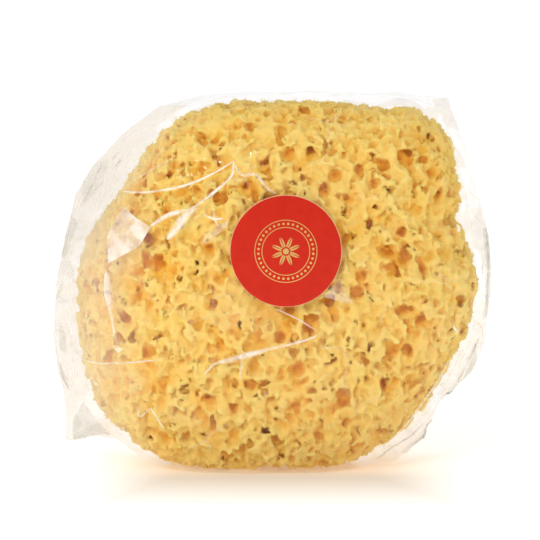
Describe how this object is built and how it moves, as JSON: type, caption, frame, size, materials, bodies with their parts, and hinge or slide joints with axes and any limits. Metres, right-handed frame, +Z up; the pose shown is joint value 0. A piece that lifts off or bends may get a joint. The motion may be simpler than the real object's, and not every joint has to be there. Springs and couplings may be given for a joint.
{
  "type": "sea sponge wrapped in clear film",
  "caption": "Honeycomb bath sponge with open pits and a cleft, standing on its edge in a loose clear film bag with a round paper label on its front.",
  "frame": {"origin": "on the floor under the middle of the sponge, on the flat underside of the bag", "axes": "+Z up; the labelled front faces -Y; +X is to the right seen from the front; the width lies along X and the thickness along Y"},
  "size_m": [0.153, 0.0713, 0.1303],
  "materials": {
    "sponge": "matte, soft springy fibre, pale on the ridges and amber in the pits",
    "film": "clear, glossy, crinkled cellophane",
    "label": "satin red coated paper with a gold printed ornament"
  },
  "bodies": {
    "root": {"sponge": "sponge", "bag": "film", "label": "label"}
  },
  "joints": []
}
